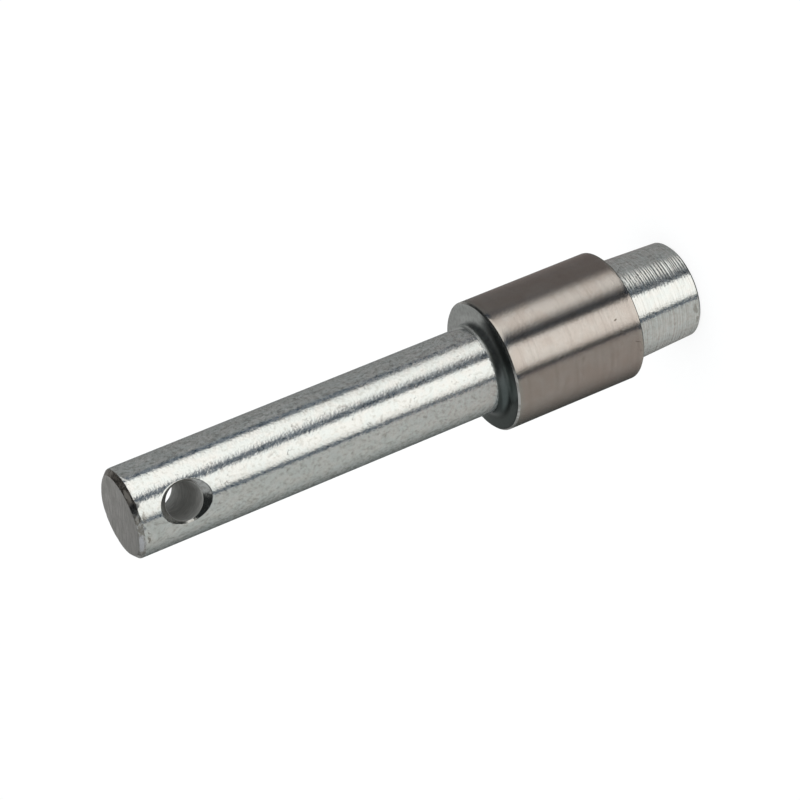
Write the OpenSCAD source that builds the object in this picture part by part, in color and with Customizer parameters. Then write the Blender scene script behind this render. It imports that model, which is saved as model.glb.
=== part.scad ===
// Locking pin: turned from one steel bar, its collar ground, and cross-drilled near the tip.
// It stands on the end of its head. +Z runs up the axis, from the end of the head to the tip,
// and the origin is the centre of the head's end face. The cross hole runs along Y.

/* [Shaft] */
// Diameter of the plain shaft
shaft_d = 20; // [16:0.5:24]
// Length of the shaft, from the shoulder of the collar to the tip
shaft_len = 89; // [50:1:150]
// Bevel round the tip, the same along the axis and across it
tip_bevel = 1; // [0.2:0.1:2]
// Radius of the fillet where the shaft meets the shoulder
shoulder_fillet = 2; // [0.5:0.1:2.5]

/* [Collar] */
// Diameter of the ground collar
collar_d = 30; // [28:0.5:45]
// Length of the collar
collar_len = 33; // [10:1:80]
// Bevel of the collar's edge at the shoulder
shoulder_bevel = 0.4; // [0.2:0.05:1]
// Bevel of the collar's edge beside the head
rear_bevel = 0.3; // [0.2:0.05:0.5]

/* [Head] */
// Diameter of the head where it leaves the collar
head_d = 23.8; // [16:0.1:25.6]
// How much smaller the diameter has become at the end of the head
head_draft = 1.5; // [0:0.1:4]
// Length of the head
head_len = 18; // [8:0.5:40]
// Bevel round the end of the head
head_bevel = 0.5; // [0.2:0.1:1.5]
// Radius that the lathe tool leaves in the corner between head and collar
head_root_r = 0.5; // [0.2:0.05:0.6]

/* [Cross hole] */
// Diameter of the hole through the shaft
hole_d = 8.3; // [4:0.1:10]
// Distance from the tip face to the middle of the hole
hole_from_tip = 11.7; // [10:0.1:30]
// Depth of the 45 degree countersink at the front mouth, from the crown of the shaft
countersink_front = 1.65; // [0.3:0.05:2.5]
// Depth of the 45 degree countersink at the back mouth, from the crown of the shaft
countersink_back = 0.8; // [0.3:0.05:2.5]

/* [Hidden] */
$fn = 96;

zinc = "#b4babb";
ground_steel = "#8d837b";

shaft_r = shaft_d / 2;
collar_r = collar_d / 2;
head_r = head_d / 2;
hole_r = hole_d / 2;

shoulder_z = head_len + collar_len;
tip_z = shoulder_z + shaft_len;
hole_z = tip_z - hole_from_tip;

// The fillet leaves at least half of the shoulder flat, for what seats on it.
fillet_r = min(shoulder_fillet, (collar_r - shaft_r - shoulder_bevel) / 2);

// The head's side leans inwards towards its end by this much for each millimetre of length.
head_slope = head_draft / 2 / head_len;
head_angle = atan(head_slope);
// How far a cutter runs on past the surface that it cuts
run_out = 1;

// Radius of the head's side at height z
function head_side(z) = head_r - (head_len - z) * head_slope;

// Profiles are drawn as radius across and height up, and turned round the axis.

module head_profile() {
    polygon([
        [0, 0],
        [head_side(0) - head_bevel, 0],
        [head_side(head_bevel), head_bevel],
        [head_r, head_len],
        [0, head_len]
    ]);
    head_root();
}

// The corner radius under the collar touches the sloping side and the flat rear face.
module head_root() {
    centre = [head_side(head_len - head_root_r) + head_root_r / cos(head_angle), head_len - head_root_r];
    touch = centre + head_root_r * [-cos(head_angle), sin(head_angle)];
    difference() {
        polygon([[head_r, head_len], touch, centre, [centre.x, head_len]]);
        translate(centre) circle(r = head_root_r);
    }
}

module collar_profile() {
    polygon([
        [0, head_len],
        [collar_r - rear_bevel, head_len],
        [collar_r, head_len + rear_bevel],
        [collar_r, shoulder_z - shoulder_bevel],
        [collar_r - shoulder_bevel, shoulder_z],
        [0, shoulder_z]
    ]);
}

module shaft_profile() {
    polygon([
        [0, shoulder_z],
        [shaft_r, shoulder_z],
        [shaft_r, tip_z - tip_bevel],
        [shaft_r - tip_bevel, tip_z],
        [0, tip_z]
    ]);
    shoulder_corner();
}

module shoulder_corner() {
    difference() {
        translate([shaft_r, shoulder_z]) square(fillet_r);
        translate([shaft_r + fillet_r, shoulder_z + fillet_r]) circle(r = fillet_r);
    }
}

// A drill right through the shaft, and a 90 degree countersink driven in from each side
module cross_hole() {
    translate([0, 0, hole_z]) rotate([90, 0, 0]) {
        cylinder(h = shaft_d + 2 * run_out, d = hole_d, center = true);
        mouth(countersink_front);
        rotate([180, 0, 0]) mouth(countersink_back);
    }
}

module mouth(depth) {
    translate([0, 0, shaft_r - depth])
        cylinder(h = depth + run_out, r1 = hole_r, r2 = hole_r + depth + run_out);
}

module locking_pin() {
    difference() {
        union() {
            color(zinc) rotate_extrude() head_profile();
            color(ground_steel) rotate_extrude() collar_profile();
            color(zinc) rotate_extrude() shaft_profile();
        }
        color(zinc) cross_hole();
    }
}

locking_pin();
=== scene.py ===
# %% [markdown]
# # A locking pin
# The object is one steel bar, turned to three diameters: a long plain shaft with a cross hole near its tip,
# a thick collar, and a short head. All of it is plated with bright zinc, and then the collar is ground to
# bare steel where a bearing runs on it.
#
# The imported model is the fixed frame of this lesson. It gives the true size of the pin, which stands on the
# end of its head with its axis along Z. We keep its box.

# %% Load the frame
import math
import random

import bpy
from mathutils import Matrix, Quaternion, Vector, noise


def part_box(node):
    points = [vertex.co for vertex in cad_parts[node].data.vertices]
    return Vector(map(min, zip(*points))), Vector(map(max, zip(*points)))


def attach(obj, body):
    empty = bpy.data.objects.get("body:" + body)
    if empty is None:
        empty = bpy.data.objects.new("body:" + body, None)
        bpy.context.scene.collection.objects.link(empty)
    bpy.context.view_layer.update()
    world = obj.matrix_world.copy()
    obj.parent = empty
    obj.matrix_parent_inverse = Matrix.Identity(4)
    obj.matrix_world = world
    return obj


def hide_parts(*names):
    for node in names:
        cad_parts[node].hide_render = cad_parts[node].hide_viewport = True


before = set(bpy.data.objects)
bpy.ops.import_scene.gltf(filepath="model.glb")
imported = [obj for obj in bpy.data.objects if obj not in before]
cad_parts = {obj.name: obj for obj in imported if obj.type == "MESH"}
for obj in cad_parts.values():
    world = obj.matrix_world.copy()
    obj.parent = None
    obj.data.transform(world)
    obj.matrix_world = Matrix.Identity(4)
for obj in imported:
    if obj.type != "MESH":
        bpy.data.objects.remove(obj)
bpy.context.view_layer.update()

PIN_LOW, PIN_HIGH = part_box("locking_pin")
print("CAD box, mm:", [round(1000 * side, 2) for side in PIN_HIGH - PIN_LOW])

# %% [markdown]
# ## Sizes
# A turner's drawing gives a few diameters and lengths, and everything else follows from them. The frame
# gives the whole height and the collar's diameter. The other sizes are named here in millimetres, measured
# from the end of the head, and the mesh is scaled to metres when it is made.

# %% Name the sizes of the pin
MM = 0.001
PIN_HEIGHT = (PIN_HIGH.z - PIN_LOW.z) / MM
COLLAR_RADIUS = (PIN_HIGH.x - PIN_LOW.x) / 2 / MM
SHAFT_RADIUS = 10.0
HEAD_RADIUS, HEAD_END_RADIUS, HEAD_LENGTH = 11.9, 11.15, 18.0
COLLAR_LENGTH = 33.0
SHOULDER = HEAD_LENGTH + COLLAR_LENGTH
TIP_BEVEL, SHOULDER_BEVEL, REAR_BEVEL, HEAD_BEVEL = 1.0, 0.4, 0.3, 0.5
SHOULDER_FILLET, HEAD_ROOT_FILLET = 2.0, 0.5
EDGE_BREAK = 0.09
HOLE_RADIUS, HOLE_FROM_TIP = 4.15, 11.7
FRONT_COUNTERSINK, BACK_COUNTERSINK = 1.65, 0.8
HOLE_HEIGHT = PIN_HEIGHT - HOLE_FROM_TIP

def head_side(height):
    """The head widens a little towards the collar."""
    return HEAD_RADIUS - (HEAD_LENGTH - height) * (HEAD_RADIUS - HEAD_END_RADIUS) / HEAD_LENGTH

print(f"shoulder at {SHOULDER:.1f} mm, hole at {HOLE_HEIGHT:.1f} mm, tip at {PIN_HEIGHT:.1f} mm")

# %% [markdown]
# ## Camera
# The photograph was taken with a long lens, from in front of the drilled tip. The pin lies slantwise in its
# square frame, but our pin stands, so the camera rolls over on its side instead. It aims at a point on the
# pin's axis, and a hair of lens shift sets the pin where it lies in the frame.

# %% Make the camera
AIM = Vector((0, 0, 71.99 * MM))
AIM_DISTANCE = 0.6331
CAMERA_AZIMUTH, CAMERA_ELEVATION, CAMERA_ROLL = (math.radians(angle) for angle in (16.05, 22.12, 112.28))
LENS_LENGTH, SENSOR_WIDTH, LENS_SHIFT = 131.49, 36.0, (0.00036, 0.00076)

towards_camera = Vector((
    math.sin(CAMERA_AZIMUTH) * math.cos(CAMERA_ELEVATION),
    -math.cos(CAMERA_AZIMUTH) * math.cos(CAMERA_ELEVATION),
    math.sin(CAMERA_ELEVATION),
))
level = towards_camera.to_track_quat("Z", "Y")
long_lens = bpy.data.cameras.new("long_lens")
long_lens.lens, long_lens.sensor_width = LENS_LENGTH, SENSOR_WIDTH
long_lens.shift_x, long_lens.shift_y = LENS_SHIFT
camera = bpy.data.objects.new("camera", long_lens)
camera.location = AIM + towards_camera * AIM_DISTANCE
camera.rotation_mode = "QUATERNION"
camera.rotation_quaternion = level @ Quaternion((0, 0, 1), -CAMERA_ROLL)
bpy.context.scene.collection.objects.link(camera)
bpy.context.scene.camera = camera
bpy.context.scene.view_settings.view_transform = "Standard"
print("camera at, mm:", [round(c / MM, 1) for c in camera.location])

# %% [markdown]
# ## Shader maths
# A finish is a sum of small effects, and a sum is easiest to read as a sum. `Signal` wraps the output
# socket of a node. Python's operators on a signal add the Math node that does the work, with either side a
# plain number. Every other kind of node comes from `NodeSheet.node`, which sets it up and plugs it in.

# %% Wrap sockets and nodes
class Signal:
    """A value that varies over a surface: the output socket of a node."""

    def __init__(self, sheet, socket):
        self.sheet, self.socket = sheet, socket

    def math(self, operation, *values):
        return self.sheet.node("ShaderNodeMath", {"operation": operation}, dict(enumerate(values)))

    def __add__(self, other):
        return self.math("ADD", self, other)

    def __sub__(self, other):
        return self.math("SUBTRACT", self, other)

    def __rsub__(self, other):
        return self.math("SUBTRACT", other, self)

    def __mul__(self, other):
        return self.math("MULTIPLY", self, other)

    def __truediv__(self, other):
        return self.math("DIVIDE", self, other)

    def __abs__(self):
        return self.math("ABSOLUTE", self)

    __radd__ = __add__
    __rmul__ = __mul__

    def step(self, low, high):
        """0 below low and 1 above high, with a soft rise between them. It falls if low is above high."""
        rise = {"From Min": min(low, high), "From Max": max(low, high)}
        rise.update({"To Min": float(low > high), "To Max": float(low < high)})
        settings = {"interpolation_type": "SMOOTHSTEP"}
        return self.sheet.node("ShaderNodeMapRange", settings, {"Value": self, **rise})

    def band(self, low, high, soft):
        """1 between low and high, with soft edges."""
        return self.step(low - soft, low + soft) * self.step(high + soft, high - soft)


class NodeSheet:
    """The nodes of one material or of the world."""

    def __init__(self, owner):
        owner.use_nodes = True
        self.owner, self.tree = owner, owner.node_tree
        self.tree.nodes.clear()

    def node(self, kind, settings=None, inputs=None, output=0):
        """Makes a node, sets it up, then fills its sockets with values or links, and returns an output."""
        made = self.tree.nodes.new(kind)
        for name, value in (settings or {}).items():
            setattr(made, name, value)
        for name, value in (inputs or {}).items():
            if isinstance(value, Signal):
                self.tree.links.new(value.socket, made.inputs[name])
            else:
                made.inputs[name].default_value = value
        return Signal(self, made.outputs[output]) if made.outputs else None

    def vectors(self, operation, *values, output="Vector"):
        """Vector maths. A result that is a plain number comes out as Value."""
        return self.node("ShaderNodeVectorMath", {"operation": operation}, dict(enumerate(values)), output)

    def mix(self, factor, first, second):
        """A colour between two colours."""
        colours = {"Factor": factor, 6: first, 7: second}
        return self.node("ShaderNodeMix", {"data_type": "RGBA"}, colours, output=2)

    def larger(self, first, second):
        return first.math("MAXIMUM", first, second)

    def smaller(self, first, second):
        return first.math("MINIMUM", first, second)

    def scaled(self, vector, scale):
        return self.vectors("MULTIPLY", vector, scale)

    def along(self, vector, axis):
        """How far a vector reaches along an axis."""
        return self.vectors("DOT_PRODUCT", vector, axis, output="Value")

    def noise(self, vector, scale, detail=2.0, roughness=0.5):
        """Cloudy noise about 0.5, with the scale in lumps per unit along each axis."""
        lumps = {"Vector": self.scaled(vector, scale), "Scale": 1.0}
        lumps.update({"Detail": detail, "Roughness": roughness})
        return self.node("ShaderNodeTexNoise", None, lumps)

    def cell_walls(self, vector, scale):
        """Distance to the nearest wall of a foam of random cells."""
        cells = {"Vector": self.scaled(vector, scale), "Scale": 1.0}
        return self.node("ShaderNodeTexVoronoi", {"feature": "DISTANCE_TO_EDGE"}, cells)

# %% [markdown]
# ## Light
# Bright metal has hardly any colour of its own: what we see in it is the room. The photograph shows a light
# tent. Along the shaft run two bright windows with a narrow dark gap between them, a dark seam on either
# side, and grey cloth beyond. The stripes run nearly straight from tip to head, so the tent is far away
# compared with the pin, and it can be drawn in the world as a function of direction.
#
# A stripe that is seen on the pin at some angle from its middle line hangs in the tent at twice that angle.
# So `seen_at` below is half the compass angle of a direction, and the stripes are written as they are seen.
# The middle of the tent lies a degree to the side of the camera.

# %% Find directions in the tent
TENT_TURN = 1.1

world = bpy.data.worlds.new("light_tent")
bpy.context.scene.world = world
tent = NodeSheet(world)
direction = tent.node("ShaderNodeTexCoord", output="Generated")

tent_azimuth = CAMERA_AZIMUTH + math.radians(TENT_TURN)
forward = tent.along(direction, (math.sin(tent_azimuth), -math.cos(tent_azimuth), 0))
sideways = tent.along(direction, (math.cos(tent_azimuth), math.sin(tent_azimuth), 0))
seen_at = sideways.math("ARCTAN2", sideways, forward) * math.degrees(0.5)
height = tent.along(direction, (0, 0, 1))
above = height.math("ARCSINE", height) * math.degrees(1)
below = above * -1
print("middle of the tent at", round(math.degrees(tent_azimuth), 2), "degrees")

# %% [markdown]
# The round sides of the pin reflect the lower half of the tent. The camera looks down on the standing pin,
# and more steeply on its lower parts, so each part shows its own belt of the tent. In degrees under the
# horizon the shaft shows 17 to 24, the collar 25 to 26, and the sloping side of the head about 32. What
# differs from part to part is written with `low`, `deep` and `on_collar`.
#
# The cloth is pale on the left of the windows, dark further out on that side, and grey on their right.

# %% Hang the cloths
SHAFT_TO_COLLAR, COLLAR_TO_HEAD = (23.8, 24.5), (26, 31)
DARK_CLOTH, GREY_CLOTH = (0.06, 0.07, 0.065, 1), (0.148, 0.153, 0.15, 1)
PALE_CLOTH, COLLAR_TINT = (0.372, 0.385, 0.362, 1), (1.02, 0.89, 0.89)
WINDOW = (1.2, 1.2, 1.15, 1)

low, deep = below.step(*SHAFT_TO_COLLAR), below.step(*COLLAR_TO_HEAD)
on_collar = low - deep
cloth = tent.mix(tent.larger(seen_at.step(-80, -44), deep * 0.5), DARK_CLOTH, PALE_CLOTH)
cloth = tent.mix(deep * 0.1, cloth, WINDOW)
cloth = tent.mix(seen_at.step(0, 8), cloth, GREY_CLOTH)
cloth = tent.mix(tent.larger(deep * 0.16, on_collar * seen_at.step(58, 86) * 0.3), cloth, PALE_CLOTH)
cloth = tent.mix(on_collar, cloth, tent.scaled(cloth, COLLAR_TINT))
print(len(tent.tree.nodes), "nodes in the tent")

# %% [markdown]
# The windows aren't quite upright: their edges drift sideways from the tip to the collar, and jump a little
# at the collar and the head. They reach down to different depths. The second one ends where the head looks,
# and there the tool grooves flicker in and out of it.

# %% Cut the two windows
TIP_BELT = 16.5

down_pin = below - TIP_BELT
rising = seen_at + (tent.smaller(below, 23.6) - 21) * 0.35 - on_collar * 3.1 - deep * 0.5
first_edge = tent.smaller(below, 31.5) * 0.49 - 3.45 - low * 2.9 - deep * 0.25
first_window = rising.step(-18.4, -13.4) * (0.8 + 0.2 * rising.step(-15, -6))
first_window = first_window * (seen_at - first_edge).step(1.4, -2.8) * (0.9 + down_pin * 0.012)
first_window = first_window * (1 - 0.16 * on_collar * seen_at.step(-6, 4))

second_edge = tent.smaller(below * 0.74 + 0.3, below * 0.3 + 10.4)
second_soft = tent.smaller(below * 0.5 - 5.4, 6.4)
third_edge = tent.smaller(below, 28) * -0.4 + 42.9 + low * 3.3 + on_collar * 1.7
second_window = ((seen_at - second_edge) / second_soft).step(-1, 1)
second_window = second_window * ((seen_at - third_edge) * (1 - 0.72 * low)).step(1.4, -2.4)
second_window = second_window * (1 - 0.3 * seen_at.step(25, 33) * below.step(18, 22) * (1 - low))
second_window = second_window * (1 - 0.75 * seen_at.step(27, 15) * below.step(31.6, 32.6))
second_window = second_window * below.step(33.3, 31.7) * (0.99 - down_pin * 0.022)
print(len(tent.tree.nodes), "nodes in the tent")

# %% [markdown]
# The seams are the tent's dark frame, bluish as the shaft shows it and brown as the collar does. Far below,
# the tent closes with a dark underside.

# %% Sew the seams and close the lower half
SEAM, LOW_SEAM, UNDERSIDE = (0.004, 0.026, 0.055, 1), (0.024, 0.018, 0.012, 1), (0.03, 0.035, 0.035, 1)

seams = tent.larger(rising.band(-22.6, -17.8, 0.5), seen_at.band(4.0, 19.0, 1.0))
seams = tent.larger(seams, seen_at.band(36.0, 42.4, 1.5) * below.step(26.5, 20.5))
lower_tent = tent.mix(seams, cloth, tent.mix(on_collar, SEAM, LOW_SEAM))
under_second = seen_at.band(8, 37, 3) * below.step(32.5, 35)
lower_tent = tent.mix(tent.larger(under_second, below.step(42, 52)), lower_tent, UNDERSIDE)
lower_tent = tent.mix(first_window * below.step(62, 54), lower_tent, WINDOW)
lower_tent = tent.mix(second_window, lower_tent, WINDOW)
print(len(tent.tree.nodes), "nodes in the tent")

# %% [markdown]
# The upper half is what the bevels, the fillet and the flat ends reflect. It is nearly black, with one soft
# pale patch on the left, a back wall that is paler on the right and low down, and a bright rim on the
# right, just under the horizon.

# %% Hang the upper half
ROOF, BACK_WALL, HIGH_WALL = (0.01, 0.012, 0.012, 1), (0.295, 0.292, 0.285, 1), (0.48, 0.485, 0.475, 1)
SIDE_PATCH, RIM = (0.42, 0.435, 0.44, 1), (0.95, 0.95, 0.93, 1)

upper_tent = tent.mix(seen_at.step(62, 78) * above.band(-2, 40, 6), ROOF, HIGH_WALL)
upper_tent = tent.mix(abs(seen_at).step(72, 84) * above.step(26, 20), upper_tent, BACK_WALL)
patch_floor = 14 - (seen_at + 72) * 0.3
patch = seen_at.step(-79, -65) * seen_at.step(-18, -25)
patch = patch * (above - patch_floor).step(-6, 6) * above.step(76, 60)
patch = tent.larger(patch, seen_at.step(-10, -30) * above.step(16, 0) * 0.35)
upper_tent = tent.mix(patch, upper_tent, SIDE_PATCH)
rim = seen_at.band(8, 68, 6) * above.band(-11, -3, 2) * (1 - 0.45 * seen_at.step(28, 44))
tent_colour = tent.mix(above.step(-13, -9), lower_tent, upper_tent)
tent_colour = tent.mix(rim, tent_colour, RIM)
print(len(tent.tree.nodes), "nodes in the tent")

# %% [markdown]
# The tent is only for mirror images. The camera sees plain white behind the pin, and soft light comes
# evenly from every side at a plain level, so a colour renders about as it is written. It is a little cool,
# as the milky haze on the zinc is.

# %% Share the rays between the tent, the backdrop and the plain light
PLAIN_LEVEL, BACKDROP = (0.82, 0.86, 0.88, 1), (1, 1, 1, 1)

def ray_kinds(sheet):
    """Signals that are 1 for camera rays and for mirror or see-through rays."""
    names = "Is Camera Ray", "Is Glossy Ray", "Is Transmission Ray"
    camera_ray, glossy, through = (sheet.node("ShaderNodeLightPath", output=name) for name in names)
    return camera_ray, sheet.larger(glossy, through)

camera_rays, mirror_rays = ray_kinds(tent)
shown = tent.mix(mirror_rays, PLAIN_LEVEL, tent_colour)
shown = tent.mix(camera_rays, shown, BACKDROP)
light = tent.node("ShaderNodeBackground", None, {"Color": shown})
tent.node("ShaderNodeOutputWorld", None, {"Surface": light})
print(len(tent.tree.nodes), "nodes in the whole world")

# %% [markdown]
# ## Floor
# The floor is plain and pale. The camera sees nearly its full white, and a share of it is real lit surface,
# which keeps the soft shadow at the foot of the pin. The mirror images in the metal come from below the
# floor as well, so it is left out of them and stops no light. One soft lamp hangs over the pin.

# %% Lay the floor and hang the lamp
FLOOR_SIZE, FLOOR_SHARE_LIT, FLOOR_WHITE, FLOOR_PAINT = 12.0, 0.2, 1.06, (0.9, 0.9, 0.9, 1)
LAMP_SIZE, LAMP_POWER, LAMP_PLACE = 0.9, 3.5, (0.25, -0.2, 1.1)

half = FLOOR_SIZE / 2
floor_corners = [(x, y, PIN_LOW.z) for x, y in ((-half, -half), (half, -half), (half, half), (-half, half))]
floor_mesh = bpy.data.meshes.new("floor")
floor_mesh.from_pydata(floor_corners, [], [(0, 1, 2, 3)])
floor = bpy.data.objects.new("floor", floor_mesh)
bpy.context.scene.collection.objects.link(floor)
floor.visible_glossy = floor.visible_shadow = False

floor_paint = bpy.data.materials.new("pale_floor")
floor_mesh.materials.append(floor_paint)
paint = NodeSheet(floor_paint)
camera_rays, mirror_rays = ray_kinds(paint)
lit = paint.node("ShaderNodeBsdfDiffuse", None, {"Color": FLOOR_PAINT})
white = paint.node("ShaderNodeEmission", None, {"Color": BACKDROP, "Strength": FLOOR_WHITE})
seen = paint.larger(camera_rays, mirror_rays)
floor_look = paint.node("ShaderNodeMixShader", None, {0: seen * (1 - FLOOR_SHARE_LIT), 1: lit, 2: white})
paint.node("ShaderNodeOutputMaterial", None, {"Surface": floor_look})

softbox = bpy.data.lights.new("overhead_softbox", "AREA")
softbox.shape, softbox.size, softbox.energy = "SQUARE", LAMP_SIZE, LAMP_POWER
lamp = bpy.data.objects.new("overhead_softbox", softbox)
lamp.location = LAMP_PLACE
lamp.rotation_mode = "QUATERNION"
lamp.rotation_quaternion = lamp.location.to_track_quat("Z", "Y")
lamp.visible_glossy = False
bpy.context.scene.collection.objects.link(lamp)
print(f"floor {FLOOR_SIZE:.0f} m wide, lamp {LAMP_PLACE[2]} m above it")

# %% [markdown]
# ## Finishes
# Every finish below starts from where we are on the piece, in millimetres, and ends in one metal shader.
# Its relief is a height in millimetres too, which the Bump node turns into tilted normals. The faces of the
# mesh will name a finish by its number in the list.

# %% Start and end a finish
FINISHES = []

def new_finish(name):
    """A sheet for a new material, and the place on the piece in millimetres."""
    sheet = NodeSheet(bpy.data.materials.new(name))
    return sheet, sheet.scaled(sheet.node("ShaderNodeTexCoord", output="Object"), (1 / MM,) * 3)

def metal(sheet, colour, roughness, relief, metallic=1.0):
    """Ends a finish in one metal shader, and returns its number in the list."""
    bump = sheet.node("ShaderNodeBump", None, {"Strength": 1.0, "Distance": 1.0, "Height": relief * MM})
    inputs = {"Base Color": colour, "Roughness": roughness, "Metallic": metallic, "Normal": bump}
    surface = sheet.node("ShaderNodeBsdfPrincipled", None, inputs)
    sheet.node("ShaderNodeOutputMaterial", None, {"Surface": surface})
    FINISHES.append(sheet.owner)
    print(sheet.owner.name, "has", len(sheet.tree.nodes), "nodes")
    return len(FINISHES) - 1

# %% [markdown]
# Single marks are strokes: a short line on the surface, given by the angles and heights of its two ends,
# with a soft edge. The angle is counted round the axis from the side that faces the camera. Where a stroke
# should not be quite straight, a little noise bends the place first.

# %% Draw single marks
BEND_SCALE, BEND_DETAIL, SOFT_FROM = 0.9, 3.0, 0.25

def on_side(angle, height, radius):
    turn = CAMERA_AZIMUTH + math.radians(angle)
    return Vector((radius * math.sin(turn), -radius * math.cos(turn), height))

def bent(sheet, place, bend):
    """The place, moved to and fro by up to half of the bend."""
    cloud = {"Vector": place, "Scale": BEND_SCALE, "Detail": BEND_DETAIL}
    wobble = sheet.node("ShaderNodeTexNoise", None, cloud, output="Color")
    centred = sheet.vectors("SUBTRACT", wobble, (0.5, 0.5, 0.5))
    return sheet.vectors("ADD", place, sheet.scaled(centred, (bend, bend, bend)))

def stroke(sheet, place, start, end, width):
    """1 along the line from start to end, falling to 0 at half the width on either side."""
    half_length = (end - start).length / 2 + width / 2
    offset = sheet.vectors("SUBTRACT", place, (start + end) / 2)
    lengthwise = sheet.along(offset, (end - start).normalized())
    distance = sheet.vectors("LENGTH", offset, output="Value")
    crosswise = distance * distance - lengthwise * lengthwise
    stretch = lengthwise / half_length
    reach = crosswise / (width / 2) ** 2 + stretch * stretch
    return reach.step(1.0, SOFT_FROM)

print("a degree round the shaft is", round(SHAFT_RADIUS * math.radians(1), 3), "mm")

# %% [markdown]
# ## Zinc plating
# Bright zinc is a thin, slightly uneven skin over the turned steel. Its mirror is sharp, with a milky haze
# over it that differs from speck to speck, so a small part of the surface is left non-metallic. Under the
# skin the short, broken marks of the lathe tool fray the edges of every reflection. On the head, fine rings
# of stain follow the feed. Handling adds scuffs and scratches, and the list holds the ones seen singly.

# %% Mix the zinc plating
COOL_ZINC, WARM_ZINC, STAIN = (0.775, 0.79, 0.775, 1), (0.80, 0.79, 0.767, 1), (0.34, 0.31, 0.27, 1)
TOOL_MARK_DEPTH, SKIN_DEPTH, HAIRLINE_DEPTH = 0.027, 0.014, 0.012
ZINC_HAZE, HAZE_SWING, ZINC_ROUGHNESS = 0.13, 0.5, 0.045
# Each mark: angle and height of both ends, width, darkness
ZINC_MARKS = [
    (-1, 72.4, -9, 73.0, 0.28, 0.6), (-4, 73.6, -7, 73.8, 0.6, 0.25), (-8, 69.8, -17, 70.3, 0.25, 0.35),
    (-5, 58.1, -3, 60.2, 0.35, 0.3), (-5, 61.4, -8, 63.4, 0.4, 0.25), (-1, 63.0, -5, 63.3, 0.3, 0.3),
    (-9, 81.0, -13, 81.5, 1.1, 0.25), (-2, 107.4, -1, 108.0, 0.8, 0.3), (-66, 110.0, -71, 109.6, 0.7, 0.4),
    (-44, 85.2, -46, 84.8, 0.9, 0.35), (-36, 98.1, -40, 97.2, 0.6, 0.3), (-30, 59.6, -36, 59.0, 0.6, 0.4),
    (-30, 71.5, -33, 71.3, 0.6, 0.35), (-47, 67.8, -50, 66.2, 0.5, 0.4), (3, 134.2, -1, 134.5, 0.4, 0.4),
    (20, 120.2, 11, 120.2, 0.35, 0.45), (15, 121.1, 10, 121.2, 0.35, 0.45),
    (-4, 119.9, -14, 120.0, 0.35, 0.3), (-8, 137.9, -20, 138.2, 1.2, 0.5),
    (-42, 138.0, -50, 137.9, 0.9, 0.85), (-33, 138.1, -36, 138.1, 0.6, 0.7),
    (32, 138.4, 18, 138.5, 0.5, 0.45), (-30, 1.7, -37, 1.3, 1.6, 0.6),
    (-44, 1.1, -52, 1.0, 0.8, 0.6), (3, 3.2, -2, 3.3, 0.4, 0.3),
]

def zinc_plating():
    sheet, place = new_finish("zinc_plating")
    tool_marks = sheet.noise(place, (1.3, 1.3, 1.7), detail=3.0)
    skin = sheet.noise(place, (2.2, 2.2, 2.2), detail=3.0, roughness=0.6)
    clouds = sheet.noise(place, (0.45, 0.45, 0.35), detail=3.0)
    specks = sheet.noise(place, (1.4, 1.4, 1.1), detail=4.0, roughness=0.6)
    on_head = sheet.along(place, (0, 0, 1)).step(HEAD_LENGTH, HEAD_LENGTH - 1)
    rings = sheet.noise(place, (0.12, 0.12, 2.6))
    islands = sheet.noise(place, (0.3, 0.3, 0.3), detail=1.0).step(0.64, 0.68) * (1 - on_head)
    crooked = bent(sheet, place, 1.6)
    scratches = sheet.cell_walls(crooked, (0.35, 0.35, 0.25)).step(0.03, 0.01) * islands
    marks = scratches * 0.18
    for low_angle, low_end, high_angle, high_end, width, darkness in ZINC_MARKS:
        radius = SHAFT_RADIUS if low_end > SHOULDER else head_side(low_end)
        start, end = on_side(low_angle, low_end, radius), on_side(high_angle, high_end, radius)
        marks = sheet.larger(marks, stroke(sheet, crooked, start, end, width) * darkness)
    relief = (tool_marks - 0.5) * TOOL_MARK_DEPTH + (skin - 0.5) * SKIN_DEPTH - scratches * HAIRLINE_DEPTH
    colour = sheet.mix(clouds.step(0.38, 0.62), COOL_ZINC, WARM_ZINC)
    colour = sheet.mix(specks.step(0.45, 0.75) * (0.36 - 0.2 * on_head), colour, STAIN)
    colour = sheet.mix(rings.step(0.45, 0.7) * on_head * 0.15, colour, STAIN)
    colour = sheet.mix(marks, colour, STAIN)
    roughness = ZINC_ROUGHNESS + skin * 0.06 + marks * 0.2
    return metal(sheet, colour, roughness, relief, 1 - ZINC_HAZE + (specks - 0.5) * HAZE_SWING)

ZINC = zinc_plating()

# %% [markdown]
# ## Ground collar
# The grinding wheel leaves a very fine grain round the collar. It is bare steel, warmer and darker than
# zinc, and its reflections are softer. A few short scratches and a spot or two lie on it.

# %% Mix the ground steel
GRAIN_DEPTH, COLLAR_HAZE, COLLAR_ROUGHNESS = 0.014, 0.025, 0.12
BROWN_STEEL, GREY_STEEL, DIRT = (0.52, 0.463, 0.425, 1), (0.55, 0.507, 0.475, 1), (0.16, 0.13, 0.11, 1)
COLLAR_MARKS = [
    (-5.6, 23.6, -6.2, 24.1, 0.45, 0.9), (-30, 20.4, -33, 18.9, 0.2, 0.7), (-40, 19.4, -43, 18.5, 0.2, 0.6),
    (-18, 38.4, -18, 39.6, 0.5, 0.3), (-25, 33.4, -27, 33.9, 0.8, 0.15),
]

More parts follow.
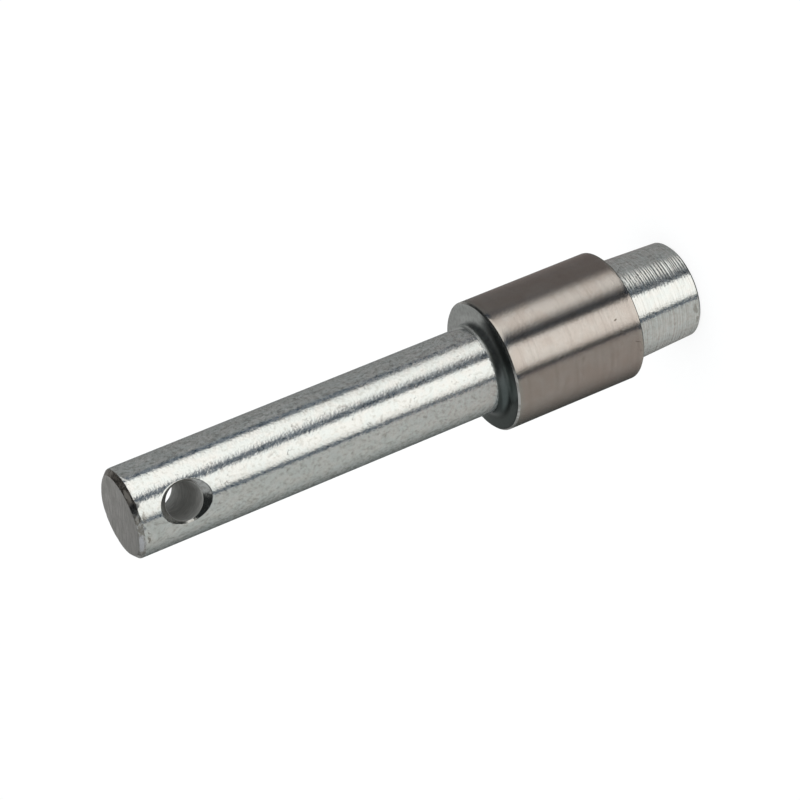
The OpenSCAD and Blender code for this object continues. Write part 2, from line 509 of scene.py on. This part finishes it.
def ground_steel():
    sheet, place = new_finish("ground_steel")
    grain = sheet.noise(place, (1.6, 1.6, 3.2))
    rings = sheet.noise(place, (0.04, 0.04, 2.0))
    clouds = sheet.noise(place, (0.22, 0.22, 0.22), detail=4.0, roughness=0.6)
    colour = sheet.mix(clouds.step(0.36, 0.64), BROWN_STEEL, GREY_STEEL)
    colour = sheet.mix(rings.step(0.45, 0.75) * 0.09 + grain.step(0.5, 0.8) * 0.08, colour, DIRT)
    for low_angle, low_end, high_angle, high_end, width, darkness in COLLAR_MARKS:
        start = on_side(low_angle, low_end, COLLAR_RADIUS)
        end = on_side(high_angle, high_end, COLLAR_RADIUS)
        colour = sheet.mix(stroke(sheet, place, start, end, width) * darkness, colour, DIRT)
    roughness = COLLAR_ROUGHNESS + clouds * 0.04
    return metal(sheet, colour, roughness, (grain - 0.5) * GRAIN_DEPTH, 1 - COLLAR_HAZE)

GROUND = ground_steel()

# %% [markdown]
# ## Bore
# The drill leaves the bore rough and dark, with rings from its feed and hardly any shine. The countersinks
# were cut by a sharper tool and shine more, with small facets where it chattered.

# %% Mix the drilled and the countersunk steel
DARK_BORE, PALE_BORE = (0.30, 0.295, 0.28, 1), (0.42, 0.41, 0.39, 1)
BRIGHT_CUT, GREY_CUT = (0.66, 0.66, 0.64, 1), (0.5, 0.49, 0.46, 1)
FEED_DEPTH, CHATTER_DEPTH, BORE_SHINE = 0.05, 0.06, 0.2

def drilled_steel():
    sheet, place = new_finish("drilled_steel")
    feed_marks = sheet.noise(place, (0.6, 3.0, 0.6), detail=4.0)
    colour = sheet.mix(feed_marks.step(0.35, 0.65), DARK_BORE, PALE_BORE)
    return metal(sheet, colour, 0.6, (feed_marks - 0.5) * FEED_DEPTH, BORE_SHINE)

def countersunk_steel():
    sheet, place = new_finish("countersunk_steel")
    chatter = sheet.noise(place, (1.2, 1.2, 1.2), detail=3.0)
    colour = sheet.mix(chatter.step(0.4, 0.7), BRIGHT_CUT, GREY_CUT)
    return metal(sheet, colour, 0.19, (chatter - 0.5) * CHATTER_DEPTH)

DRILLED, CUT = drilled_steel(), countersunk_steel()

# %% [markdown]
# ## Turned shoulder
# The shoulder, its fillet and the small bevels were turned with a rounded tool and stayed smooth, without
# the bright skin. Painted shade darkens them on the side away from the windows, and more painted shade lies
# on the shoulder in front. The collar's edge at the shoulder is rubbed bare, and is brighter than the face
# beside it.

# %% Mix the turned steel and the bare edge
# Directions of the painted shade: the side away from the windows, and the front of the shoulder
SHADOW_SIDE, SHADED_FRONT = on_side(-70, 0, 1), on_side(8, 0, 1)
BRIGHT_TURNED, GREY_TURNED = (0.67, 0.69, 0.675, 1), (0.56, 0.57, 0.56, 1)
SHADOW, FRONT_SHADE = (0.09, 0.115, 0.11, 1), (0.05, 0.055, 0.055, 1)
BRIGHT_EDGE, GREY_EDGE = (0.74, 0.72, 0.69, 1), (0.52, 0.50, 0.47, 1)

def turned_steel():
    sheet, place = new_finish("turned_steel")
    streaks = sheet.noise(place, (1.2, 1.2, 1.2))
    # Painted shade, standing in for the dark reflections on that side and in the fillet's corner
    dark_side = sheet.along(place, SHADOW_SIDE).step(-2, 10)
    front_shade = sheet.along(place, SHADED_FRONT).step(9.8, 13)
    colour = sheet.mix(streaks.step(0.35, 0.7), BRIGHT_TURNED, GREY_TURNED)
    colour = sheet.mix(dark_side * 0.9, colour, SHADOW)
    colour = sheet.mix(front_shade * 0.9, colour, FRONT_SHADE)
    return metal(sheet, colour, 0.32, (streaks - 0.5) * 0.008)

def bare_edge():
    sheet, place = new_finish("bare_edge")
    nicks = sheet.noise(place, (0.7, 0.7, 0.7))
    colour = sheet.mix(nicks.step(0.45, 0.65), BRIGHT_EDGE, GREY_EDGE)
    return metal(sheet, colour, 0.26, (nicks - 0.5) * 0.03)

TURNED, BARE = turned_steel(), bare_edge()

# %% [markdown]
# ## Bruised tip
# The bevel at the tip strikes the edge of a hole each time the pin goes in, so it is gritty and bruised,
# with dull patches between bright ones. Metallic carries the dull patches. One stretch is rubbed bright, a
# short one is blackened, and the bevel is darker and browner on the far side.

# %% Mix the bruised steel
GRIT, BRIGHT_GRIT, DARK_BROWN = (0.36, 0.34, 0.305, 1), (0.62, 0.62, 0.60, 1), (0.2, 0.175, 0.155, 1)
DULL, POLISHED, SOOT = (0.21, 0.20, 0.175, 1), (0.70, 0.70, 0.72, 1), (0.05, 0.055, 0.06, 1)
# The side on which the bevel is darker and browner
DARKER_SIDE = on_side(60, 0, 1)
# Each stretch of the bevel: angles of both ends, width, and for a bruise its dullness
BRUISES = [(10, 28, 1.3, 0.55), (-11, -17, 0.9, 0.7), (-21, -25, 0.7, 0.6), (-62, -75, 0.9, 0.4)]
BLACKENED, RUBBED = (-5, 5, 2.0), (-37, -66, 1.5)

def bruised_steel():
    sheet, place = new_finish("bruised_steel")
    rub = sheet.noise(place, (0.8, 0.8, 0.8), detail=4.0, roughness=0.6)
    grit = sheet.noise(place, (1.8, 1.8, 1.8))
    dull = 0.1 + rub.step(0.45, 0.75) * 0.35
    crooked = bent(sheet, place, 0.6)

    def along_bevel(low_angle, high_angle, width):
        middle = TIP_BEVEL / 2
        start, end = (on_side(angle, PIN_HEIGHT - middle, SHAFT_RADIUS - middle)
                      for angle in (low_angle, high_angle))
        return stroke(sheet, crooked, start, end, width)

    for low_angle, high_angle, width, dullness in BRUISES:
        dull = sheet.larger(dull, along_bevel(low_angle, high_angle, width) * dullness)
    # Darker and browner on one side of the bevel
    browner_half = sheet.along(place, DARKER_SIDE).step(4.0, 5.5)
    rubbed = along_bevel(*RUBBED)
    dull = dull * (1 - 0.7 * rubbed)
    colour = sheet.mix(grit.step(0.46, 0.6), GRIT, BRIGHT_GRIT)
    colour = sheet.mix(browner_half, colour, DARK_BROWN)
    colour = sheet.mix(dull, colour, DULL)
    colour = sheet.mix(rubbed * 0.85, colour, POLISHED)
    colour = sheet.mix(along_bevel(*BLACKENED) * 0.8, colour, SOOT)
    return metal(sheet, colour, 0.24 + dull * 0.2, (rub - 0.5) * 0.05, 1 - dull * 0.9)

BRUISED = bruised_steel()

# %% [markdown]
# ## Sawn ends
# Both flat ends show the slanting marks of a saw, filed down. They are too shallow to be shape, and they
# make the end softly shiny rather than mirror bright. Dark specks and faint clouds lie over them.

# %% Mix the sawn steel
SAW_DIRECTION, ACROSS_SAW = (0.875, -0.484, 0), (0.484, 0.875, 0)
GREY_SAWN, BRIGHT_SAWN, SPECK = (0.60, 0.585, 0.57, 1), (0.82, 0.80, 0.785, 1), (0.35, 0.34, 0.32, 1)
SHADED_SAWN, CLOUDED_SAWN = (0.40, 0.405, 0.385, 1), (0.38, 0.38, 0.35, 1)

def sawn_steel():
    sheet, place = new_finish("sawn_steel")
    lengthwise, crosswise = sheet.along(place, SAW_DIRECTION), sheet.along(place, ACROSS_SAW)
    turned_place = sheet.node("ShaderNodeCombineXYZ", None, {0: lengthwise, 1: crosswise})
    saw_marks = sheet.noise(turned_place, (0.25, 1.7, 1), detail=3.0)
    specks = sheet.noise(place, (1.6, 1.6, 1.6), detail=3.0)
    clouds = sheet.noise(place, (0.22, 0.22, 0.22), detail=3.0)
    shaded = sheet.along(place, SHADOW_SIDE).step(-7, 9)
    colour = sheet.mix(saw_marks.step(0.35, 0.65), GREY_SAWN, BRIGHT_SAWN)
    colour = sheet.mix(specks.step(0.5, 0.75) * 0.4, colour, SPECK)
    colour = sheet.mix(shaded * 0.4, colour, SHADED_SAWN)
    colour = sheet.mix(clouds.step(0.45, 0.7) * 0.35, colour, CLOUDED_SAWN)
    return metal(sheet, colour, 0.34, (saw_marks - 0.5) * 0.06)

SAWN = sawn_steel()

# %% [markdown]
# ## The turned outline
# A lathe turns one outline round the axis. The outline is a short list of corners, each with the radius
# that rounds it, and the spacing of the rings up to the next corner. Even a sharp edge on real steel is
# broken a little, and that thin rounding is what catches the light.

# %% Round the corners of the outline
ARC_STEP, NEARLY_STRAIGHT = math.radians(15), 0.01

def arc(before, corner, after, radius):
    """Points along the arc that rounds a corner of the outline."""
    arrive, leave = (corner - before).normalized(), (after - corner).normalized()
    turn = arrive.angle(leave)
    if radius <= 0 or turn < NEARLY_STRAIGHT:
        return [corner]
    setback = radius * math.tan(turn / 2)
    inward = (leave - arrive).normalized()
    centre = corner + inward * radius / math.cos(turn / 2)
    start = (corner - arrive * setback - centre).normalized()
    end = (corner + leave * setback - centre).normalized()
    steps = max(1, math.ceil(turn / ARC_STEP))
    return [centre + start.slerp(end, i / steps) * radius for i in range(steps + 1)]

square_corner = arc(Vector((0, 0)), Vector((1, 0)), Vector((1, 1)), EDGE_BREAK)
print(len(square_corner), "points round a square corner")

# %% [markdown]
# ## Tool grooves on the head
# The head was turned with a coarse feed, and its grooves show as fine bright and dark rings. They are deep
# enough to be real shape: each is a shallow dip in the outline, with its own width and depth. Near the
# collar the feed was finer, so the dips are shallower there.

# %% Cut the grooves into the head
GROOVE_WIDTH, GROOVE_STEEPNESS = (0.42, 0.9), (0.016, 0.052)
FIRST_GROOVE, FINE_FROM, FINE_SHARE = HEAD_BEVEL + 0.15, 12.0, 0.4

feed = random.Random(7)
grooves, cut_at = [], FIRST_GROOVE
while cut_at < HEAD_LENGTH - HEAD_ROOT_FILLET - GROOVE_WIDTH[1]:
    width = feed.uniform(*GROOVE_WIDTH)
    steepness = feed.uniform(*GROOVE_STEEPNESS) * (1.0 if cut_at < FINE_FROM else FINE_SHARE)
    grooves.append((cut_at, width, width * steepness))
    cut_at += width

def groove_depth(height):
    for start, width, depth in grooves:
        if start <= height < start + width:
            return depth * (1 - (2 * (height - start) / width - 1) ** 2)
    return 0.0

print(len(grooves), "grooves on the head")

# %% [markdown]
# The corners below run from the middle of the head's end to the middle of the tip's. Each names what
# follows it, up to the next corner. The shoulder face leans back a tenth of a millimetre towards its rim,
# as a tool that is pushed aside a little leaves it.

# %% Draw the outline
PATCH_HALF, SHOULDER_CROWN = 7.0, 0.1
PATCH_LOW, PATCH_HIGH = HOLE_HEIGHT - PATCH_HALF, HOLE_HEIGHT + PATCH_HALF
# Each corner: radius, height, rounding, ring spacing, finish
CORNERS = [
    (0, 0, 0, 1.2, SAWN),
    (head_side(0) - HEAD_BEVEL, 0, EDGE_BREAK, 0.2, TURNED),
    (head_side(HEAD_BEVEL), HEAD_BEVEL, EDGE_BREAK, 0.1, ZINC),
    (HEAD_RADIUS, HEAD_LENGTH, HEAD_ROOT_FILLET, 0.5, TURNED),
    (COLLAR_RADIUS - REAR_BEVEL, HEAD_LENGTH, EDGE_BREAK, 0.2, TURNED),
    (COLLAR_RADIUS, HEAD_LENGTH + REAR_BEVEL, EDGE_BREAK / 2, 1.0, GROUND),
    (COLLAR_RADIUS, SHOULDER - SHOULDER_BEVEL - SHOULDER_CROWN, EDGE_BREAK / 2, 0.2, BARE),
    (COLLAR_RADIUS - SHOULDER_BEVEL, SHOULDER - SHOULDER_CROWN, EDGE_BREAK, 0.5, TURNED),
    (SHAFT_RADIUS, SHOULDER, SHOULDER_FILLET, 1.0, TURNED),
    (SHAFT_RADIUS, SHOULDER + SHOULDER_FILLET, 0, 1.0, ZINC),
    (SHAFT_RADIUS, PATCH_LOW, 0, 0.5, ZINC),
    (SHAFT_RADIUS, PATCH_HIGH, 0, 0.2, ZINC),
    (SHAFT_RADIUS, PIN_HEIGHT - TIP_BEVEL, EDGE_BREAK, 0.12, BRUISED),
    (SHAFT_RADIUS - TIP_BEVEL, PIN_HEIGHT, EDGE_BREAK, 0.5, SAWN),
    (0, PIN_HEIGHT, 0, 1.0, SAWN),
]

def draw_outline(corners):
    """Rings from the head's centre to the tip's: radius, height, and the finish of what follows."""
    points = [Vector((radius, height)) for radius, height, *_ in corners]
    rings = []
    for i, (_, _, rounding, _, finish) in enumerate(corners):
        ends = i in (0, len(corners) - 1)
        stations = [points[i]] if ends else arc(points[i - 1], points[i], points[i + 1], rounding)
        if rings:
            last, (_, _, _, spacing, finish_before) = Vector(rings[-1][:2]), corners[i - 1]
            count = max(1, round((stations[0] - last).length / spacing))
            for k in range(1, count):
                between = last.lerp(stations[0], k / count)
                rings.append((between.x, between.y, finish_before))
        rings += [(station.x, station.y, finish) for station in stations]
    return rings

side_from = HEAD_END_RADIUS - 0.1
outline = [(radius - groove_depth(height) * (radius > side_from), height, finish)
           for radius, height, finish in draw_outline(CORNERS)]
print(len(outline), "rings in the outline")

# %% [markdown]
# ## Wear at the tip
# The bevel at the tip has knocked against a hole for years. On the battered side it has grown wider, and
# its edges are dented and wavy. That is real shape: corners near the bevel move inwards, by noise that is
# smooth over a millimetre or two. On one side, round to the right, the edge is rounded right off.

# %% Wear the tip
BATTERED_SIDE, BEVEL_GROWTH = CAMERA_AZIMUTH + math.radians(20), 0.15
WEAR_DEPTH, WEAR_REACH, WEAR_LUMP, FINER_LUMP, WEAR_SHARE = 0.24, 1.1, 1.3, 2.3, 0.7
ROUNDED_SIDE, ROUNDED_DEPTH = CAMERA_AZIMUTH + math.radians(115), 0.4

def turned_to(turn, radius, height):
    return radius * math.sin(turn), -radius * math.cos(turn), height

def resized(radius, height, share):
    """Makes the bevel share times its size, and moves the face's edge and the shaft's end to meet it."""
    rim, edge = SHAFT_RADIUS - TIP_BEVEL, PIN_HEIGHT - TIP_BEVEL
    if height < edge:
        stretch = (PIN_HEIGHT - share * TIP_BEVEL - PATCH_HIGH) / (edge - PATCH_HIGH)
        return SHAFT_RADIUS - share * (SHAFT_RADIUS - radius), PATCH_HIGH + (height - PATCH_HIGH) * stretch
    if radius < rim:
        return radius * (SHAFT_RADIUS - share * TIP_BEVEL) / rim, PIN_HEIGHT - share * (PIN_HEIGHT - height)
    return SHAFT_RADIUS - share * (SHAFT_RADIUS - radius), PIN_HEIGHT - share * (PIN_HEIGHT - height)

def worn(turn, radius, height):
    """The place of a corner, after the bevel near it was worn wider and dented inwards."""
    if height <= PATCH_HIGH or radius == 0:
        return turned_to(turn, radius, height)
    from_bevel = max(0.0, abs(radius - SHAFT_RADIUS + TIP_BEVEL / 2) - TIP_BEVEL / 2,
                     PIN_HEIGHT - TIP_BEVEL - height)
    battered = max(0.0, math.cos(turn - BATTERED_SIDE)) ** 3
    radius, height = resized(radius, height, 1 + BEVEL_GROWTH * battered)
    if from_bevel < WEAR_REACH:
        place = Vector(turned_to(turn, radius, height)) / WEAR_LUMP
        lumps = noise.noise(place) + 0.5 * noise.noise(place * FINER_LUMP)
        dent = max(0.0, lumps) * WEAR_DEPTH * (0.3 + 0.7 * battered)
        dent += max(0.0, math.cos(turn - ROUNDED_SIDE)) ** 6 * ROUNDED_DEPTH
        dent *= WEAR_SHARE * (1 - from_bevel / WEAR_REACH) ** 2
        radius, height = radius - dent, height - dent
    return turned_to(turn, radius, height)

_, _, worn_edge = worn(BATTERED_SIDE, SHAFT_RADIUS, PIN_HEIGHT - TIP_BEVEL)
print(f"bevel {PIN_HEIGHT - worn_edge:.2f} mm high on its battered side")

# %% [markdown]
# ## The mesh
# Turning the outline gives a grid of rings and columns. Near the cross hole the grid is left open over a
# square patch on both sides, and filled with loops that run from the square in to the mouth of the hole,
# down the countersink and through the bore. So the hole's edge is a clean loop of its own, and the surface
# round it stays a true cylinder with no dents in its reflections.

# %% Turn the outline
COLUMNS = 216
PATCH_COLUMNS = COLUMNS // 8

class Shell:
    """Corners and faces of a mesh, where each corner is made once under its own key."""

    def __init__(self):
        self.points, self.index, self.faces, self.finish = [], {}, [], []

    def at(self, key, point):
        if key not in self.index:
            self.index[key] = len(self.points)
            self.points.append(Vector(point) * MM)
        return self.index[key]

    def face(self, corners, finish):
        self.faces.append(corners)
        self.finish.append(finish)

def ring_point(column, radius, height):
    return worn(math.tau * column / COLUMNS, radius, height)

def in_patch(column, height):
    from_hole = min(column % (COLUMNS // 2), -column % (COLUMNS // 2))
    return from_hole <= PATCH_COLUMNS and PATCH_LOW - 0.01 < height < PATCH_HIGH + 0.01

def turn_outline(shell, rings):
    for ring in range(len(rings) - 1):
        heights = rings[ring][1], rings[ring + 1][1]
        for column in range(COLUMNS):
            beside = column + 1
            if all(in_patch(c, height) for c in (column, beside) for height in heights):
                continue
            corners = []
            for c, k in ((column, ring), (beside, ring), (beside, ring + 1), (column, ring + 1)):
                radius, height, _ = rings[k]
                key = ("ring", k, 0 if radius == 0 else c % COLUMNS)
                corner = shell.at(key, ring_point(c, radius, height))
                if corner not in corners:
                    corners.append(corner)
            shell.face(corners, rings[ring][2])

pin_shell = Shell()
turn_outline(pin_shell, outline)
print(len(pin_shell.faces), "faces turned")

# %% [markdown]
# ## The cross hole
# A countersink is a cone, and the shaft is round, so the mouth of the hole is not a circle: it reaches less
# far round the shaft than along it. Each loop is found from two rules, one for the cone and one for the
# cylinder, along fixed directions that start from the corners of the square patch. Extra loops lie close on
# both sides of each edge, so that the edge stays crisp under smooth shading.

# %% Find the mouth of the hole
MOUTH_BREAK, SETTLING_ROUNDS = 0.10, 40

def mouth_radius(direction, countersink):
    """Distance of the mouth from the hole's axis, where the cone meets the shaft."""
    radius = HOLE_RADIUS + countersink
    for _ in range(SETTLING_ROUNDS):
        drop = SHAFT_RADIUS - math.sqrt(SHAFT_RADIUS**2 - (radius * math.sin(direction)) ** 2)
        radius = 0.5 * radius + 0.5 * (HOLE_RADIUS + countersink - drop)
    return max(radius, HOLE_RADIUS + MOUTH_BREAK)

def on_shaft(direction, radius):
    """Sideways, outwards and upwards from the hole's middle, on the shaft's surface."""
    across = radius * math.sin(direction)
    return across, math.sqrt(SHAFT_RADIUS**2 - across**2), radius * math.cos(direction)

def in_hole(direction, radius, outwards):
    return radius * math.sin(direction), outwards, radius * math.cos(direction)

for name, depth in (("front", FRONT_COUNTERSINK), ("back", BACK_COUNTERSINK)):
    long_way, round_way = 2 * mouth_radius(0, depth), 2 * mouth_radius(math.pi / 2, depth)
    print(f"{name} mouth {long_way:.2f} mm along the shaft, {round_way:.2f} mm across it")

# %% [markdown]
# One column of the hole's mesh runs from a corner of the patch to the middle of the bore. The patch has its
# loops closer together near the mouth, where the reflections bend most.

# %% Lay out one column of the hole
PATCH_LOOPS, CONE_LOOPS, BORE_LOOPS = 12, 4, 14
CROWDING, CONE_MARGIN, LEAST_CONE = 0.8, 0.35, 0.1
LIP_IN, LIP_DOWN, BORE_LIP, BORE_START = 0.01, 0.03, 0.015, 0.08

def hole_spots(direction, far, countersink):
    """Places from the patch in to the mouth, down the countersink and on to the middle of the bore."""
    mouth = mouth_radius(direction, countersink)
    near = mouth + MOUTH_BREAK
    _, edge, _ = on_shaft(direction, mouth)
    bore_end = min(SHAFT_RADIUS - countersink, edge - LEAST_CONE)
    spots = []
    for k in range(1, PATCH_LOOPS + 1):
        spots.append(on_shaft(direction, far + (near - far) * (k / PATCH_LOOPS) ** CROWDING))
    spots.append(in_hole(direction, mouth + LIP_IN, edge - LIP_DOWN))
    for k in range(CONE_LOOPS + 1):
        t = (k + CONE_MARGIN) / (CONE_LOOPS + 2 * CONE_MARGIN)
        spots.append(in_hole(direction, mouth + (HOLE_RADIUS - mouth) * t, edge + (bore_end - edge) * t))
    spots.append(in_hole(direction, HOLE_RADIUS + BORE_LIP, bore_end - BORE_LIP))
    for k in range(BORE_LOOPS):
        spots.append(in_hole(direction, HOLE_RADIUS, (bore_end - BORE_START) * (1 - k / BORE_LOOPS)))
    spots.append(in_hole(direction, HOLE_RADIUS, 0.0))
    return spots

print(len(hole_spots(0, PATCH_HALF, FRONT_COUNTERSINK)), "loops on each side of the hole")

# %% Fill the patches and line the bore
def patch_border(rings):
    """Ring and column numbers round the square patch, in order."""
    rows = [k for k, (_, height, _) in enumerate(rings) if in_patch(0, height)]
    low_row, high_row, w = rows[0], rows[-1], PATCH_COLUMNS
    border = [(low_row, c) for c in range(-w, w)] + [(k, w) for k in range(low_row, high_row)]
    border += [(high_row, c) for c in range(w, -w, -1)] + [(k, -w) for k in range(high_row, low_row, -1)]
    return border

def line_hole(shell, rings):
    border = patch_border(rings)
    for side, start, countersink in ((-1, 0, FRONT_COUNTERSINK), (1, COLUMNS // 2, BACK_COUNTERSINK)):
        stack = []
        for i, (ring, column) in enumerate(border):
            height = rings[ring][1]
            across, up = SHAFT_RADIUS * math.sin(math.tau * column / COLUMNS), height - HOLE_HEIGHT
            border_column = start - side * column
            corner = ring_point(border_column, SHAFT_RADIUS, height)
            keys = [shell.at(("ring", ring, border_column % COLUMNS), corner)]
            spots = hole_spots(math.atan2(across, up), math.hypot(across, up), countersink)
            for k, (x, out, rise) in enumerate(spots):
                key = ("bore middle", i) if k == len(spots) - 1 else ("hole", side, i, k)
                keys.append(shell.at(key, (x, out * side, HOLE_HEIGHT + rise)))
            stack.append(keys)
        for i, first in enumerate(stack):
            second = stack[(i + 1) % len(stack)]
            for k in range(len(first) - 1):
                corners = [first[k], second[k], second[k + 1], first[k + 1]]
                finish = DRILLED if k > PATCH_LOOPS + CONE_LOOPS + 1 else CUT if k > PATCH_LOOPS else ZINC
                shell.face(corners if side < 0 else corners[::-1], finish)

line_hole(pin_shell, outline)
print(len(pin_shell.faces), "faces with the hole")

# %% [markdown]
# The mesh becomes one object. Its faces are smooth, but an edge that turns by more than 34 degrees is kept
# sharp. The frame is told that this mesh takes the place of the imported pin.

# %% Make the pin
SHARP_ANGLE = math.radians(34)

pin_mesh = bpy.data.meshes.new("pin")
pin_mesh.from_pydata(pin_shell.points, [], pin_shell.faces)
for finish in FINISHES:
    pin_mesh.materials.append(finish)
pin_mesh.polygons.foreach_set("material_index", pin_shell.finish)
pin_mesh.validate()
pin_mesh.shade_smooth()
pin_mesh.set_sharp_from_angle(angle=SHARP_ANGLE)
pin = bpy.data.objects.new("pin", pin_mesh)
bpy.context.scene.collection.objects.link(pin)
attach(pin, "root")
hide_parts("locking_pin")
triangles = sum(len(face) - 2 for face in pin_shell.faces)
print(triangles, "triangles in the pin")
